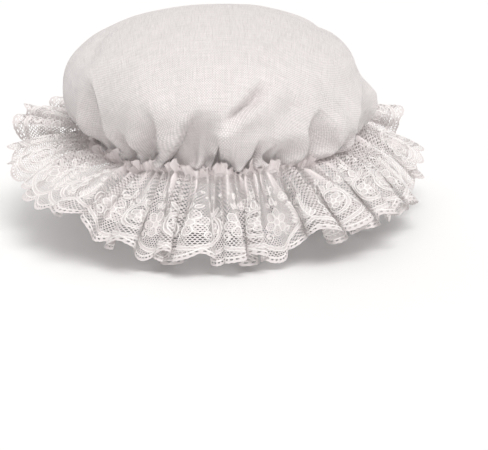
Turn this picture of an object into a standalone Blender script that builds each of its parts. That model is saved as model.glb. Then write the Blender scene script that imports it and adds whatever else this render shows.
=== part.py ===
"""White mob cap: a puffed linen crown and a gathered lace ruffle, both drawn in to an elastic band.

Units are metres and +Z is up. The origin is the middle of the head opening, level with the line of
stitches that joins the pieces. The nape is at +Y and the face side at -Y, with the wearer's left at +X.
A turn is the angle round the opening from the nape, positive towards the wearer's left.
"""

import math

import bmesh
import bpy
from mathutils import Vector

NAME = "mob_cap"

# Head opening, inside the band
HEAD_HALF_WIDTH = 0.080
HEAD_HALF_DEPTH = 0.099

# Elastic band
BAND_WALL = 0.002
BAND_BELOW = 0.007
BAND_ABOVE = 0.005
BAND_SIDES = 48

# Space between neighbouring pieces
CLEARANCE = 0.0003

# Linen crown, with its reach from the middle to each side
LINEN_WALL = 0.0012
CROWN_HEIGHT = 0.091
CROWN_LEFT = 0.109
CROWN_RIGHT = 0.112
CROWN_BACK = 0.122
CROWN_FRONT = 0.124
HEM_BELOW = 0.0055
HEM_WAVE = 0.001
HEM_GATHERS = 36
CROWN_COLUMNS = 144

# Lace strip, as it lies flat
LACE_WALL = 0.001
LACE_DROP = 0.063
HEADING = 0.005
HEADING_LEAN = math.radians(22)
NECK_ABOVE_HEADING = 0.002
SCALLOPS = 84
SCALLOP_DEPTH = 0.0035
COLUMNS_PER_SCALLOP = 3

# Flutes of the ruffle
FLUTES = 36
FLUTE_DEPTH = 0.0070
FLUTE_ROUNDING = 0.0012
GATHER_WAVE = 0.0013

LINEN_COLOUR = (0.83, 0.79, 0.78, 1)
LACE_COLOUR = (0.86, 0.82, 0.81, 1)
BAND_COLOUR = (0.80, 0.76, 0.75, 1)

# Rings of the crown above its neck. Height is a share of the way from the neck to the top.
# Hem is the share of the hem's own reach, and the others are shares of the reach to that side.
CROWN_RINGS = (
    # height, hem, left, right, back, front
    (0.00, 0.93, 0.07, 0.07, 0.07, 0.07),
    (0.02, 0.58, 0.42, 0.42, 0.42, 0.42),
    (0.06, 0.26, 0.74, 0.74, 0.74, 0.74),
    (0.13, 0.07, 0.93, 0.93, 0.93, 0.93),
    (0.23, 0.00, 1.00, 1.00, 1.00, 1.00),
    (0.35, 0.00, 1.00, 0.97, 1.00, 0.99),
    (0.47, 0.00, 0.99, 0.94, 0.97, 0.97),
    (0.60, 0.00, 0.98, 0.89, 0.91, 0.93),
    (0.72, 0.00, 0.94, 0.82, 0.83, 0.86),
    (0.83, 0.00, 0.80, 0.69, 0.68, 0.72),
    (0.92, 0.00, 0.57, 0.52, 0.48, 0.52),
    (0.98, 0.00, 0.30, 0.28, 0.26, 0.28),
)
WALL_RINGS = 8

# Valleys that run up from the gathered hem. Depth is a share of the crown's overhang past the hem,
# and top is the share of the crown's height that the valley reaches.
FOLDS = (
    # turn at hem, turn at top, half width, depth, top
    (-80, -66, 5.0, 0.85, 0.50),
    (-45, -36, 3.8, 0.85, 0.50),
    (-31, -29, 7.0, 0.85, 0.26),
    (-10, -11, 3.0, 0.60, 0.22),
    (1, 2, 4.0, 0.80, 0.26),
    (11, 11, 2.6, 0.60, 0.30),
    (20, 8, 6.0, 0.90, 0.50),
    (32, 27, 4.0, 0.85, 0.52),
    (43, 41, 3.5, 0.70, 0.30),
    (66, 59, 4.5, 0.90, 0.64),
    (84, 86, 5.5, 0.75, 0.40),
    (102, 99, 4.0, 0.85, 0.50),
    (119, 122, 5.5, 0.75, 0.33),
    (137, 133, 4.0, 0.85, 0.52),
    (155, 156, 6.0, 0.75, 0.32),
    (172, 170, 4.0, 0.85, 0.48),
    (-170, -167, 5.5, 0.75, 0.33),
    (-151, -153, 4.0, 0.85, 0.52),
    (-133, -131, 5.5, 0.80, 0.30),
    (-116, -119, 4.0, 0.85, 0.46),
    (-98, -96, 5.5, 0.75, 0.32),
)

# Lobes of linen that hang a little over the heading. Drop is a share of the crown's height.
HANGING_LOBES = (
    # turn, half width, drop
    (-4, 6.5, 0.065),
    (-62, 9.0, 0.030),
    (52, 8.0, 0.030),
    (76, 8.0, 0.035),
)

# How far below level the lace points, at its stitches and at its edge
LACE_FALL = (
    # turn, at stitches, at edge
    (-180, -14, 4),
    (-150, -10, 8),
    (-125, -6, 14),
    (-108, 4, 26),
    (-90, 16, 38),
    (-74, 24, 44),
    (-59, 30, 46),
    (-42, 28, 46),
    (-27, 32, 48),
    (-18, 46, 60),
    (0, 46, 58),
    (17, 44, 56),
    (28, 38, 52),
    (38, 28, 46),
    (48, 20, 38),
    (59, 16, 36),
    (74, 10, 28),
    (88, 0, 14),
    (105, -20, -4),
    (125, -24, -6),
    (150, -18, 0),
    (180, -14, 4),
)

# Uneven widths of the flutes: each wave moves the flutes by a share of one flute
FLUTE_DRIFT = (
    # waves round the cap, share, phase
    (3, 0.25, 0.4),
    (7, 0.09, 2.1),
    (11, 0.05, 5.0),
)

BAND_OFFSET = BAND_WALL / 2
CROWN_OFFSET = BAND_WALL + CLEARANCE + HEM_WAVE + LINEN_WALL / 2
LACE_OFFSET = CROWN_OFFSET + HEM_WAVE + LINEN_WALL / 2 + CLEARANCE + GATHER_WAVE + LACE_WALL / 2
NECK_HEIGHT = HEADING + NECK_ABOVE_HEADING


def ease(share):
    """Smooth step from 0 to 1."""
    share = min(1.0, max(0.0, share))
    return share * share * (3 - 2 * share)


def round_opening(turn, offset):
    """Point at an offset outside the head opening, and the outward and sideways directions there."""
    point = Vector((HEAD_HALF_WIDTH * math.sin(turn), HEAD_HALF_DEPTH * math.cos(turn), 0))
    outward = Vector((math.sin(turn) / HEAD_HALF_WIDTH, math.cos(turn) / HEAD_HALF_DEPTH, 0)).normalized()
    sideways = Vector((outward.y, -outward.x, 0))
    return point + outward * offset, outward, sideways


def turn_between(turn, centre_degrees):
    """Signed turn in degrees from a centre, the short way round."""
    return (math.degrees(turn) - centre_degrees + 180) % 360 - 180


def fold_depth(turn, height):
    """Share of the overhang that the valleys take away at this turn and height share."""
    kept = 1.0
    for at_hem, at_top, half_width, depth, top in FOLDS:
        share = min(1.0, height / top)
        centre = at_hem + (at_top - at_hem) * share
        across = turn_between(turn, centre) / half_width
        kept *= 1 - depth * math.exp(-across * across) * (1 - share * share)
    return 1 - kept


def lobe_drop(turn, height):
    """How far a hanging lobe lowers this point."""
    low = ease(height / 0.05) * (1 - ease((height - 0.12) / 0.3))
    drop = 0.0
    for centre, half_width, share in HANGING_LOBES:
        across = turn_between(turn, centre) / half_width
        drop += share * CROWN_HEIGHT * math.exp(-across * across)
    return drop * low


def crown_point(turn, height, hem, left, right, back, front):
    """Point on the crown's middle surface above the neck."""
    reach_x = left * CROWN_LEFT if math.sin(turn) > 0 else right * CROWN_RIGHT
    reach_y = back * CROWN_BACK if math.cos(turn) > 0 else front * CROWN_FRONT
    wave = HEM_WAVE * math.sin(HEM_GATHERS * turn)
    hem_point = round_opening(turn, CROWN_OFFSET + wave)[0]
    puffed = hem_point * hem + Vector((reach_x * math.sin(turn), reach_y * math.cos(turn), 0))
    point = puffed.lerp(hem_point, fold_depth(turn, height))
    point.z = NECK_HEIGHT + height * (CROWN_HEIGHT - NECK_HEIGHT) - lobe_drop(turn, height)
    return point


def crown_rings():
    """Rings of points from the hem to the top, with half as many on the dome as on the wall."""
    turns = [2 * math.pi * column / CROWN_COLUMNS for column in range(CROWN_COLUMNS)]
    rings = []
    for height in (-HEM_BELOW, 0.0):
        ring = []
        for turn in turns:
            point = round_opening(turn, CROWN_OFFSET + HEM_WAVE * math.sin(HEM_GATHERS * turn))[0]
            ring.append(point + Vector((0, 0, height)))
        rings.append(ring)
    for number, row in enumerate(CROWN_RINGS):
        step = 1 if number < WALL_RINGS else 2
        rings.append([crown_point(turn, *row) for turn in turns[::step]])
    rings.append([Vector((0, 0, CROWN_HEIGHT))])
    return rings


def between_rows(rows, turn):
    """Values of a table at this turn, eased from row to row."""
    degrees = (math.degrees(turn) + 180) % 360 - 180
    for before, after in zip(rows, rows[1:]):
        if degrees <= after[0]:
            share = ease((degrees - before[0]) / (after[0] - before[0]))
            return [a + (b - a) * share for a, b in zip(before[1:], after[1:])]
    return rows[-1][1:]


def flute_phase(turn):
    """Number of flutes passed at this turn, with uneven widths."""
    drift = sum(share * math.sin(waves * turn + phase) for waves, share, phase in FLUTE_DRIFT)
    return FLUTES * turn / (2 * math.pi) + drift


def lace_point(turn, along):
    """Point on the lace's middle surface. Along is its distance below the stitches, or less than 0 above."""
    foot, outward, sideways = round_opening(turn, LACE_OFFSET)
    up = Vector((0, 0, 1))
    if along < 0:
        run = outward * math.sin(HEADING_LEAN) + up * math.cos(HEADING_LEAN)
        normal = outward * math.cos(HEADING_LEAN) - up * math.sin(HEADING_LEAN)
        centre = foot + run * -along
        spread = 0.0
    else:
        at_stitches, at_edge = (math.radians(angle) for angle in between_rows(LACE_FALL, turn))
        spread = along / LACE_DROP
        fall = at_stitches + (at_edge - at_stitches) * spread
        mean = (at_stitches + fall) / 2
        centre = foot + (outward * math.cos(mean) - up * math.sin(mean)) * along
        normal = outward * math.sin(fall) + up * math.cos(fall)
    wave = 2 * math.pi * flute_phase(turn)
    depth = GATHER_WAVE + (FLUTE_DEPTH - GATHER_WAVE) * spread
    rounding = FLUTE_ROUNDING * spread
    return centre + normal * (depth * math.cos(wave)) + sideways * (rounding * math.sin(2 * wave))


def lace_rings():
    """Rings of points from the top of the heading to the scalloped edge."""
    columns = SCALLOPS * COLUMNS_PER_SCALLOP
    rings = []
    for along in (-HEADING, 0.0, 0.45 * LACE_DROP, LACE_DROP):
        ring = []
        for column in range(columns):
            notch = SCALLOP_DEPTH if along == LACE_DROP and column % COLUMNS_PER_SCALLOP == 0 else 0
            ring.append(lace_point(2 * math.pi * column / columns, along - notch))
        rings.append(ring)
    return rings


def band_rings():
    """Rings of points along the bottom and the top of the band."""
    turns = [2 * math.pi * side / BAND_SIDES for side in range(BAND_SIDES)]
    return [
        [round_opening(turn, BAND_OFFSET)[0] + Vector((0, 0, height)) for turn in turns]
        for height in (-BAND_BELOW, BAND_ABOVE)
    ]


def joined_faces(shape, lower, upper):
    """Faces between two rings, whose counts are equal, two to one, or a ring and a single point."""
    count = len(lower)
    if len(upper) == 1:
        for side in range(count):
            shape.faces.new((lower[side], lower[(side + 1) % count], upper[0]))
    elif len(upper) == count:
        for side in range(count):
            after = (side + 1) % count
            shape.faces.new((lower[side], lower[after], upper[after], upper[side]))
    else:
        for pair in range(len(upper)):
            first, middle, last = (lower[(2 * pair + step) % count] for step in range(3))
            near, far = upper[pair], upper[(pair + 1) % len(upper)]
            shape.faces.new((first, middle, near))
            shape.faces.new((middle, far, near))
            shape.faces.new((middle, last, far))


def material(name, colour, roughness):
    """Plain cloth finish."""
    finish = bpy.data.materials.new(name)
    finish.use_nodes = True
    shader = finish.node_tree.nodes["Principled BSDF"]
    shader.inputs["Base Color"].default_value = colour
    shader.inputs["Roughness"].default_value = roughness
    shader.inputs["Metallic"].default_value = 0
    return finish


def walled_sheet(name, rings, wall, finish, collection):
    """Object with a sheet lofted through the rings, given a wall half on each side."""
    shape = bmesh.new()
    rows = [[shape.verts.new(point) for point in ring] for ring in rings]
    for lower, upper in zip(rows, rows[1:]):
        joined_faces(shape, lower, upper)
    bmesh.ops.recalc_face_normals(shape, faces=shape.faces)
    mesh = bpy.data.meshes.new(name)
    shape.to_mesh(mesh)
    shape.free()
    mesh.materials.append(finish)
    mesh.shade_smooth()
    sheet = bpy.data.objects.new(name, mesh)
    thickness = sheet.modifiers.new("wall", "SOLIDIFY")
    thickness.thickness = wall
    thickness.offset = 0
    collection.objects.link(sheet)
    return sheet


def main():
    for old in list(bpy.data.objects):
        bpy.data.objects.remove(old)
    collection = bpy.data.collections.new(NAME)
    bpy.context.scene.collection.children.link(collection)
    opening = bpy.data.objects.new("head_opening", None)
    opening.empty_display_size = HEAD_HALF_WIDTH
    collection.objects.link(opening)
    linen = material("linen", LINEN_COLOUR, 0.85)
    lace = material("lace", LACE_COLOUR, 0.75)
    elastic = material("elastic", BAND_COLOUR, 0.80)
    pieces = (
        walled_sheet("linen_crown", crown_rings(), LINEN_WALL, linen, collection),
        walled_sheet("gathering_band", band_rings(), BAND_WALL, elastic, collection),
        walled_sheet("lace_ruffle", lace_rings(), LACE_WALL, lace, collection),
    )
    for piece in pieces:
        piece.parent = opening


main()
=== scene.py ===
"""White mob cap as a Blender add-on: puffed linen crown, gathered lace ruffle and elastic casing.

Units are metres, with the cap's back at +Y, its front at -Y and its own left at +X. A turn is the angle
round the opening from the middle of the back, positive towards the left. The lace is worked flat, as a
strip whose x runs along the stitches and whose y runs down from them, and is then gathered.
"""

import math

import bpy
import numpy as np
from bpy.props import FloatProperty, FloatVectorProperty, IntProperty, PointerProperty
from mathutils import Matrix, Vector


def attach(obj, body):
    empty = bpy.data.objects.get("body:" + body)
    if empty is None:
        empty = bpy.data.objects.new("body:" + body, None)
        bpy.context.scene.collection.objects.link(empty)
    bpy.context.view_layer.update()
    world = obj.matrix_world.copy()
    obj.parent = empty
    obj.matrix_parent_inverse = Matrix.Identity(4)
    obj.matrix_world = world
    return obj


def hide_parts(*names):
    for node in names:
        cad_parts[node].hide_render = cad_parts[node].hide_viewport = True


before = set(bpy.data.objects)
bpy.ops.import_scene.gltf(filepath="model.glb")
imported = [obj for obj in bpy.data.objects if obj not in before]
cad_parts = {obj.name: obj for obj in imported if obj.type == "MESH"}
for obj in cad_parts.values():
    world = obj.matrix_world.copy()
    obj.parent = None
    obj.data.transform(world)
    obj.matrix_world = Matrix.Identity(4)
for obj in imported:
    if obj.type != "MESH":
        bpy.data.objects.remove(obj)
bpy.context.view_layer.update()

bl_info = {
    "name": "Mob Cap",
    "version": (1, 0, 0),
    "blender": (4, 5, 0),
    "location": "3D View > Sidebar > Mob Cap",
    "description": "Makes a linen mob cap with a gathered lace ruffle",
    "category": "Add Mesh",
}

TAU = 2 * math.pi
UP = np.array((0.0, 0.0, 1.0))
TINY = 1e-12  # Least length that a direction is divided by

# Profile of the crown: heights as shares of the way from its neck to its top, how far it still follows
# the hem's outline, and how far it has puffed out on each side, where 1 is the full reach
CROWN_RINGS = (
    # height, hem, left, right, back, front
    (-0.045, 1.0, 0.03, 0.40, 0.04, 0.06),
    (0.00, 1.0, 0.10, 0.58, 0.13, 0.20),
    (0.05, 1.0, 0.30, 0.77, 0.28, 0.40),
    (0.11, 1.0, 0.53, 0.93, 0.47, 0.62),
    (0.18, 1.0, 0.75, 0.97, 0.68, 0.80),
    (0.26, 1.0, 0.90, 0.88, 0.85, 0.92),
    (0.36, 0.75, 0.991, 0.79, 0.984, 0.993),
    (0.47, 0.40, 0.993, 0.802, 1.00, 0.97),
    (0.60, 0.10, 0.962, 0.81, 0.951, 0.93),
    (0.72, 0.0, 0.885, 0.745, 0.865, 0.86),
    (0.83, 0.0, 0.745, 0.615, 0.71, 0.72),
    (0.92, 0.0, 0.53, 0.445, 0.49, 0.52),
    (0.98, 0.0, 0.275, 0.225, 0.26, 0.28),
)

# Rows of faces up the crown: close ones over the run of cloth by its gathers, wide ones to the top
CLOSE_RUN = 0.055
CLOSE_ROWS = 44
WIDE_ROWS = 66

# Pockets between the gathers, up from the hem to an arch. Each of their two edges runs from the hem over a
# halfway point to the arch's top. The lean says which edge is a crisp lip, and how far it laps over the
# pocket: positive for the edge at the greater turn.
FOLDS = (
    # top, turn there, greater edge at hem and halfway, smaller edge at hem and halfway, depth, lean
    (0.58, 60.5, 58.5, 61, 49, 48, 1.30, -0.8),
    (0.27, 42, 46, 45, 38.5, 35.5, 0.85, -0.8),
    (0.46, 27.5, 37, 30.5, 29.5, 22, 1.15, -1.0),
    (0.48, 6.5, 25.5, 17.0, 14, 3.0, 1.65, 1.0),
    (0.17, 7.5, 10.5, 9, 7, 4.5, 0.75, -0.5),
    (0.28, -1, 5, 3.0, -3.5, -1.5, 0.80, 0.8),
    (0.24, -13.5, -7, -10.0, -12.0, -13.6, 0.80, -0.8),
    (0.21, -23, -16.5, -15.5, -26.5, -25.5, 0.62, 0.6),
    (0.365, -42.5, -30.5, -30.5, -39.5, -40.5, 1.50, 0.9),
    (0.15, -51, -44.5, -46, -52, -51.5, 0.95, 0.9),
    (0.39, -84.0, -57.0, -57.5, -76, -81, 1.50, 1.0),
    (0.30, -84, -73, -73, -93, -92, 0.34, -0.1),
    (0.24, -92, -86, -89, -95, -96, 0.70, 0.5),
    (0.38, -101, -97, -97, -107, -106, 0.75, -0.6),
    (0.46, -119, -111, -114, -121, -123, 0.85, 0.8),
    (0.30, -131, -127, -126, -139, -137, 0.75, 0.6),
    (0.52, -153, -146, -148, -156, -157, 0.85, -0.9),
    (0.33, -167, -164, -162, -174, -172, 0.75, 0.6),
    (0.48, 170, 178, 175, 167, 166, 0.85, -0.8),
    (0.32, 156, 162, 161, 148, 150, 0.75, -0.5),
    (0.52, 133, 142, 138, 132, 129, 0.85, 0.9),
    (0.33, 122, 125, 126, 113, 116, 0.75, 0.6),
    (0.50, 104, 111, 108, 101, 100, 0.85, -0.8),
    (0.42, 92, 96, 95, 88, 88, 0.75, 0.7),
    (0.30, 76, 84, 81, 61, 70, 0.95, 0.6),
)

# Width in degrees of a pocket's crisp wall, and its growth for each degree of the pocket and at the arch.
# The soft wall is wider by a share of the pocket. At its edge a wall has turned in by a part of its width.
CRISP_WALL = 0.9
CRISP_GROWTH = 0.06
ARCH_GROWTH = 4.5
SOFT_GROWTH = 0.75
TURNED_IN = 0.35

# A pocket fades out a little over its top, and its arch is as wide there as a share of its width halfway
FADE_HEIGHT = 1.12
ARCH_SHARE = 0.08

# Middle and half width in degrees of a lip, from the edge of its pocket
LIP = (0.7, 1.6)

# Part of the crown's hem that hangs lowest: turn, half width, drop as a share of the crown's height
LOBE = (-5, 5.0, 0.050)

# How far the crown sags where the lace under it points down steeply
SAG = 0.0025

# Soft dents of the puffed linen, each along a line on the crown. Depth is a share of the dent size.
DENTS = (
    # turn and height at one end, turn and height at the other, half width as a share of height, depth
    (-4, 0.395, -17, 0.60, 0.040, 3.6),
    (1, 0.275, -12, 0.475, 0.060, -1.2),
    (-24, 0.34, -32, 0.48, 0.09, 0.7),
    (14, 0.52, 20, 0.74, 0.10, 0.55),
    (-28, 0.38, -33, 0.60, 0.09, 0.6),
    (52, 0.60, 40, 0.80, 0.11, 0.5),
    (84, 0.50, 72, 0.80, 0.10, 0.7),
    (118, 0.45, 128, 0.75, 0.10, 0.8),
    (160, 0.45, 150, 0.70, 0.09, 0.8),
    (-158, 0.45, -166, 0.75, 0.10, 0.8),
    (-124, 0.50, -112, 0.78, 0.10, 0.7),
    (-84, 0.45, -92, 0.70, 0.09, 0.7),
    (-97, 0.80, -128, 0.90, 0.050, 1.1),
    (70, 0.74, 98, 0.86, 0.055, 0.8),
)

# Degrees round the crown that are about as long as the crown is high
DEGREES_TO_HEIGHT = 60

# Foot of a gather: its middle and half width up the crown, as shares of the crown's height
FOOT = (-0.015, 0.065)

# How far up the crown the fine and the broad pleats reach, as shares of its height
FINE_REACH = 0.13
BROAD_REACH = 0.26

# Soft undulation of the crown
LUMPS = (
    # depth, size, seed
    (0.0016, 0.060, 11),
    (0.00035, 0.022, 12),
)

# Uneven waves round the cap, each the sum of a few whole waves
RIPPLES = {
    # name: amount, seed, whole numbers of waves
    "fine pleats": (2.2, 3, (5, 9, 14)),
    "broad pleats": (1.8, 4, (3, 7, 11)),
    "pleat depth": (0.5, 6, (4, 9, 17)),
    "heading lean": (0.5, 7, (13, 22, 31)),
    "heading height": (0.35, 8, (37, 61, 94)),
    "flute drift": (1.0, 20, (9, 14, 20)),
    "flute depth": (0.50, 21, (5, 13, 19)),
    "flute shift": (1.0, 22, (23, 31, 41)),
    "pinches": (2.6, 23, (7, 17, 29)),
    "gathers": (4.0, 24, (11, 19, 37)),
    "flute bulge": (0.6, 25, (6, 11, 17)),
    "gather depth": (0.6, 26, (15, 26, 43)),
    "sway": (1.0, 27, (9, 14, 23)),
    "pinch bulge": (0.8, 28, (8, 13)),
    "loops": (5.0, 29, (12, 21, 34)),
    "curls": (4.0, 30, (14, 25, 41)),
    "ruches": (3.0, 31, (5, 13, 21)),
    "crest reach": (0.45, 32, (27, 43, 71)),
    "tape edge": (2.0, 32, (7, 11)),
}

# Pleats, gathers, the frill's loops and curls, and the casing's ruches round the cap
FINE_PLEATS = 66
BROAD_PLEATS = 38
GATHERS = 110
LOOPS = 152
CURLS = 241
RUCHES = 96

# Starts and spans of what sets in or ends up the crown, as shares of its height
LAP_START = (-0.03, 0.12)
DROP_START = (-0.06, 0.12)
DROP_END = (0.12, 0.3)
FINE_START = (-0.08, 0.10)
BROAD_START = (-0.07, 0.14)
LUMPS_START = (0.02, 0.3)

# Starts and spans of what sets in or ends down the lace, in metres below the stitches
SWAY_END = (0.004, 0.030)
PINCH_START = (-0.001, 0.008)
PINCH_END = (0.012, 0.040)
GATHER_END = (0, 0.036)

# How far below level the lace points, in degrees
LACE_FALL = (
    # turn, at stitches, at edge
    (-180, -14, 4),
    (-150, -10, 8),
    (-125, -6, 22),
    (-108, 6, 42),
    (-90, 16, 57),
    (-74, 20, 61),
    (-59, 22, 55),
    (-42, 22, 48),
    (-27, 28, 48),
    (-18, 44, 62),
    (0, 44, 60),
    (17, 42, 58),
    (28, 34, 54),
    (38, 18, 50),
    (48, 5, 46),
    (59, -4, 48),
    (74, -8, 44),
    (88, -14, 28),
    (105, -22, -2),
    (125, -16, 6),
    (150, -13, 4),
    (180, -14, 4),
)

FLUTE_DRIFT = (
    # waves round the cap, share of a flute, phase
    (3, 0.25, 0.4),
    (7, 0.09, 2.1),
    (11, 0.05, 5.0),
    (17, 0.09, 1.3),
    (29, 0.05, 4.4),
)

# How far flutes wander sideways at the edge, and how far down the lace the gathers show as lines
FLUTE_SHIFT = 0.0025
CREST_REACH = 0.026

# Places of the shallower flutes at the sides of the cap
SIDES = (
    # turn, half width
    (86, 30),
    (-84, 26),
)

# Deep tucks of the ruffle between its flutes. Depth is a share of the flute depth, and the lean is the
# side whose flute laps over the tuck. Rise is how far the edge is drawn up in it, as a share of the drop.
TUCKS = (
    # turn, half width, depth, lean, rise
    (-21.5, 2.4, 1.7, 1, 0.36),
    (-41, 2.2, 0.8, -1, 0.05),
    (-58, 2.6, 0.9, 1, 0.08),
    (-83, 3.0, 1.0, -1, 0.10),
    (-9, 1.8, 0.6, -1, 0.04),
    (6, 2.0, 0.8, 1, 0.06),
    (17, 1.8, 0.7, -1, 0.05),
    (27, 2.0, 0.9, 1, 0.08),
    (41, 2.6, 1.3, -1, 0.36),
    (51, 2.6, 1.2, 1, 0.12),
    (73, 3.0, 1.0, -1, 0.10),
    (98, 3.0, 0.9, 1, 0.06),
    (122, 2.8, 0.9, -1, 0.06),
    (148, 2.8, 0.9, 1, 0.08),
    (171, 2.6, 0.8, -1, 0.06),
    (-163, 2.8, 0.9, 1, 0.08),
    (-139, 2.8, 0.9, -1, 0.06),
    (-113, 2.8, 0.9, 1, 0.06),
)

REPEAT = 3  # Scallops in one repeat of the lace

# Oval ring of the lace round the smaller flower. In the tables of the lace, lengths are shares of one
# repeat's width, and down is the distance below the stitches as a share of the lace's drop.
OVAL = (0.25, 0.605, 0.140, 0.185, 0.034)  # across, down, half width, half height, band

# Flowers of ring-shaped petals
FLOWERS = (
    # across, down, radius, petals, petal width, heart, turn
    (0.25, 0.605, 0.098, 5, 0.076, 0.026, 0.3),
    (0.75, 0.575, 0.172, 6, 0.112, 0.040, 0.26),
    (0.50, 0.330, 0.066, 5, 0.050, 0.018, 0.9),
)

LEAVES = (
    # across and down at the stalk, length, width, way it points in degrees from across, bend
    (0.25, 0.435, 0.110, 0.046, -90, 0.0),
    (0.21, 0.445, 0.105, 0.042, -128, -0.2),
    (0.29, 0.445, 0.105, 0.042, -52, 0.2),
    (0.16, 0.465, 0.095, 0.040, -165, -0.2),
    (0.34, 0.465, 0.095, 0.040, -15, 0.2),
    (0.75, 0.400, 0.100, 0.044, -90, 0.0),
    (0.71, 0.405, 0.095, 0.040, -135, -0.2),
    (0.79, 0.405, 0.095, 0.040, -45, 0.2),
)

# Sprays of paired leaflets along a bent stalk
SPRAYS = (
    # across and down at the foot, length, way it points, bend, pairs, leaflet length, leaflet width
    (0.500, 0.745, 0.400, -90, 0.35, 6, 0.088, 0.038),
    (0.000, 0.745, 0.440, -90, -0.35, 7, 0.088, 0.038),
    (0.255, 0.330, 0.130, -90, 0.0, 2, 0.055, 0.026),
    (0.745, 0.300, 0.130, -90, 0.0, 2, 0.055, 0.026),
)
LEAFLET_ANGLE = 52  # Degrees between a leaflet and its stalk

# Scrolls of the lace. Each is a band that curls round from its first point.
SCROLLS = (
    # across and down of the curl's middle, first radius, last radius, first angle, last angle, band
    (0.90, 0.710, 0.014, 0.062, 480, 95, 0.024),
    (0.60, 0.710, 0.014, 0.062, -300, 85, 0.024),
)

LOOSE_DOTS = (
    # across, down, radius
    (0.00, 0.175, 0.015),
    (0.34, 0.150, 0.013),
    (0.66, 0.175, 0.015),
    (0.13, 0.260, 0.016),
    (0.87, 0.250, 0.016),
    (0.38, 0.250, 0.016),
    (0.62, 0.240, 0.016),
)

# Garland: place of its lowest points as a share of the drop, its depth as a share of the scallops', and
# the width of a swag in scallops
GARLAND_DOWN = 0.862
GARLAND_DEPTH = 1.15
SWAG_WIDTH = 1.5

# Share of the net's hole that is left open, from close cloth to open net, and how the holes vary
SOLID = 0.0
STITCHED = 0.30
GARLAND = 0.34
OVAL_RING = 0.36
LEAF = 0.45
PETAL = 0.58
NET = 0.92
HOLE_SEED = 5
HOLE_RANGE = (0.90, 1.05)

# Firm edge of the lace: the height of its band, the heights of its rows of points above the edge, the
# radius of an eyelet, how far every other point of the edge stands out, and the band's lift off the net
EDGE_BAND = 0.0036
EDGE_ROWS = (0.0044, 0.0033, 0.00235, 0.0014, 0.0)
EYELET = 0.00063
PICOT = 0.00035
EDGE_LIFT = 0.00012

# Height of the raised threads, and points of them along one scallop
OUTLINE_HEIGHT = 0.00040
OUTLINE_STEPS = 14

# Running stitches round the cap: number, length as a share of their spacing, thickness, place below the
# line of gathers, and lift
STITCHES = 168
STITCH_SHARE = 0.72
STITCH_THICKNESS = 0.0007
STITCH_BELOW = 0.0004
STITCH_LIFT = 0.00025

# Casing: middle height, columns of faces, thickness and inset of its tape as shares of the wall, half the
# height of a ruche, and mean radius of the opening for its flat places
CASING_MIDDLE = -0.001
CASING_COLUMNS = 480
TAPE_THICKNESS = 0.80
TAPE_INSET = 0.10
RUCHE_DEPTH = 0.00018
MEAN_RADIUS = 0.09

# Outline of the casing, out through its wall and up from its middle, as shares of wall and half height
CASING_OUTLINE = (
    (0.5, -1.0), (0.12, -0.93), (0.0, -0.75), (0.05, -0.4), (0.0, 0.0), (0.05, 0.4), (0.0, 0.75),
    (0.12, 0.93), (0.5, 1.0), (0.88, 0.93), (1.0, 0.75), (0.95, 0.3), (0.95, -0.3), (1.0, -0.75),
    (0.88, -0.93),
)

# Finishes of spun thread, on lengths in metres
THREADS = {
    # name: grain, spread of tone, roughness, painted light: how much lighter the thread is on gather crests,
    # where net is doubled up, and on the frill in the crown's shade
    "lace cotton": (0.0016, 0.10, 0.8, 0.30),
    "outline cotton": (0.0008, 0.12, 0.7, 0.0),
    "casing cotton": (0.0009, 0.16, 0.85, 0.0),
    "sewing thread": (0.0006, 0.10, 0.7, 0.0),
}

# Soft distant lights, which shine from a place to the origin
LIGHTS = (
    # name, place, power, softness in degrees, colour
    ("key", (-0.30, 0.85, 1.30), 2.15, 36, (1, 0.99, 0.98)),
    ("top", (0.10, 0.25, 1.00), 0.30, 60, (1, 0.99, 0.98)),
    ("front", (0.4, -0.9, 0.9), 0.50, 60, (1, 0.985, 0.98)),
)

SKY_COLOUR = (1.0, 0.985, 0.975, 1)
SKY_STRENGTH = 0.34
FLOOR_HALF = 6.0
SENSOR_WIDTH = 36

# Where the camera looks, from the origin
AIM_RIGHT = 0.0154
AIM_DOWN = 0.0602


def metres(name, description, default, least=0.0):
    """Length as a setting."""
    return FloatProperty(
        name=name, description=description, default=default, min=least, subtype="DISTANCE", unit="LENGTH"
    )


def in_degrees(name, description, degrees):
    """Angle as a setting."""
    return FloatProperty(
        name=name, description=description, default=math.radians(degrees), subtype="ANGLE", unit="ROTATION"
    )


def whole(name, description, default, least):
    """Number of like things as a setting."""
    return IntProperty(name=name, description=description, default=default, min=least)


def tint(name, description, default):
    """Colour as a setting."""
    return FloatVectorProperty(
        name=name, description=description, default=default, size=3, min=0, max=1, subtype="COLOR"
    )


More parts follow.
